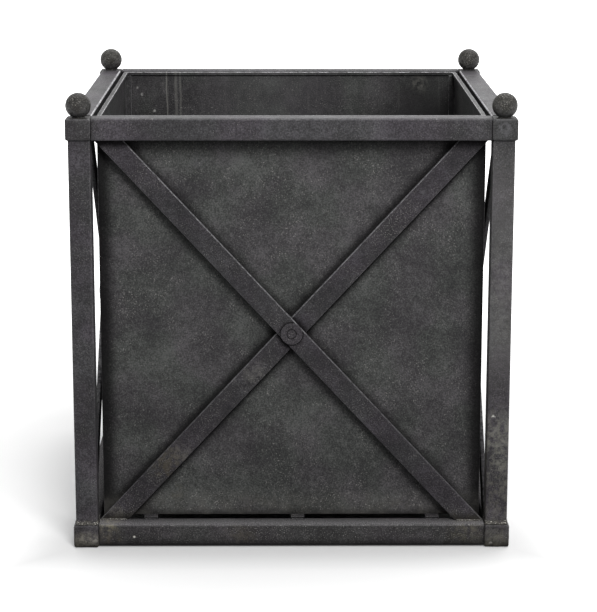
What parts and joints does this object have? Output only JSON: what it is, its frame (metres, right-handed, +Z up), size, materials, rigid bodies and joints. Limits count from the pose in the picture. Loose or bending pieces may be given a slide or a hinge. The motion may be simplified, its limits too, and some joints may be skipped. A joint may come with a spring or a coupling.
{
  "type": "versailles planter",
  "caption": "Square garden planter: an open frame of square steel tube with crossed flat-bar braces and ball finials, holding a loose sheet-metal liner that lifts out.",
  "frame": {"origin": "on the floor under the middle of the planter, in the plane of the four feet's undersides", "axes": "+Z up, -Y towards the front that the picture shows, +X to the right as seen from the front; all four sides are alike"},
  "size_m": [0.508, 0.508, 0.5306],
  "materials": {
    "frame_tube": "dark grey patinated steel tube, matt with a faint sheen, mottled",
    "corner_block": "dark grey patinated solid blocks with dusty, warmer edges",
    "ball": "dark olive-grey patinated solid balls, pitted",
    "flat_bar": "dark grey patinated flat bar with lighter rubbed edges",
    "rivet": "dark grey patinated rivets",
    "slat": "dark grey patinated flat bar, dusty",
    "liner_sheet": "dark grey patinated sheet, mottled outside and streaked with mineral marks inside"
  },
  "bodies": {
    "frame": {"foot_front_left": "corner_block", "foot_front_right": "corner_block", "foot_back_right": "corner_block", "foot_back_left": "corner_block", "post_front_left": "frame_tube", "post_front_right": "frame_tube", "post_back_right": "frame_tube", "post_back_left": "frame_tube", "bottom_rail_front": "frame_tube", "bottom_rail_right": "frame_tube", "bottom_rail_back": "frame_tube", "bottom_rail_left": "frame_tube", "top_rail_front": "frame_tube", "top_rail_right": "frame_tube", "top_rail_back": "frame_tube", "top_rail_left": "frame_tube", "cap_front_left": "corner_block", "cap_front_right": "corner_block", "cap_back_right": "corner_block", "cap_back_left": "corner_block", "ball_front_left": "ball", "ball_front_right": "ball", "ball_back_right": "ball", "ball_back_left": "ball", "brace_under_front": "flat_bar", "brace_under_right": "flat_bar", "brace_under_back": "flat_bar", "brace_under_left": "flat_bar", "brace_over_front": "flat_bar", "brace_over_right": "flat_bar", "brace_over_back": "flat_bar", "brace_over_left": "flat_bar", "brace_disc_front": "flat_bar", "brace_disc_right": "flat_bar", "brace_disc_back": "flat_bar", "brace_disc_left": "flat_bar", "brace_rivet_front": "rivet", "brace_rivet_right": "rivet", "brace_rivet_back": "rivet", "brace_rivet_left": "rivet", "slat_left": "slat", "slat_middle": "slat", "slat_right": "slat"},
    "liner": {"liner_wall_front": "liner_sheet", "liner_wall_right": "liner_sheet", "liner_wall_back": "liner_sheet", "liner_wall_left": "liner_sheet", "liner_floor": "liner_sheet"}
  },
  "joints": [
    {"name": "liner_lift", "type": "slide", "parent": "frame", "child": "liner", "axis": [0, 0, 1], "range_m": [0, 0.51]}
  ]
}
